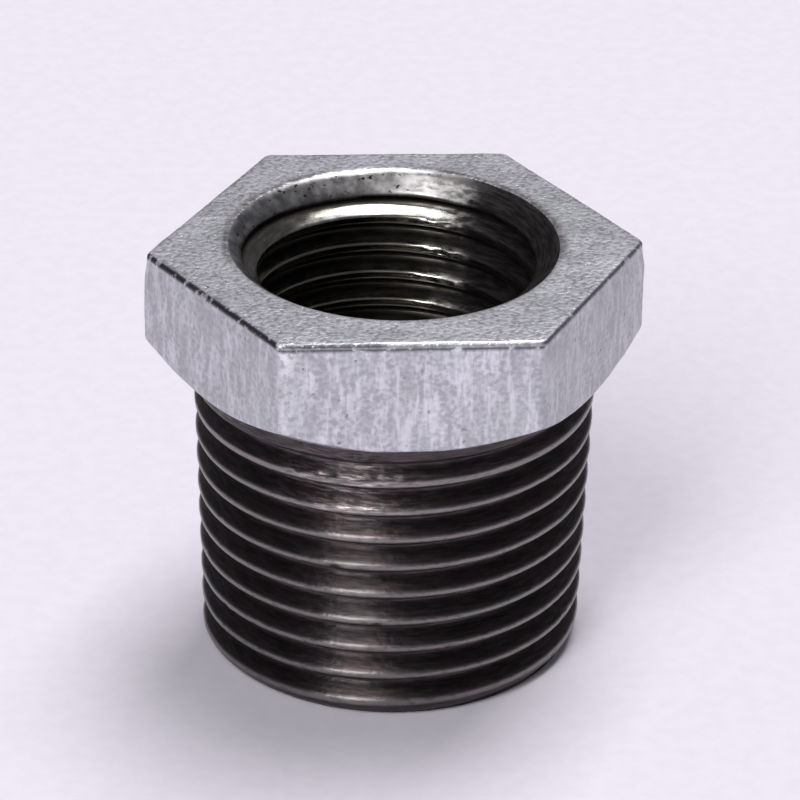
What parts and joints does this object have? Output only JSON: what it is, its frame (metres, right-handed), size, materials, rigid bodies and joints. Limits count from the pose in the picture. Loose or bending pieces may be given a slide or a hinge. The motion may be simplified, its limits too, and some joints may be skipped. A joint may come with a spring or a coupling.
{
  "type": "hexagon reducing bush",
  "caption": "Hexagon reducing bush for pipes: a male taper thread under a hexagon head, with a smaller female thread down through the head.",
  "frame": {"origin": "centre of the small end's face, on the thread axis", "axes": "+Z along the thread axis, up through the hexagon head; +X towards a corner of the hexagon; +Y square to a flat"},
  "size_m": [0.0206, 0.018, 0.0181],
  "materials": {
    "galvanised_iron": "hot-dip galvanised head, bare dark machined threads"
  },
  "bodies": {
    "root": {"hex_bushing": "galvanised_iron"}
  },
  "joints": []
}
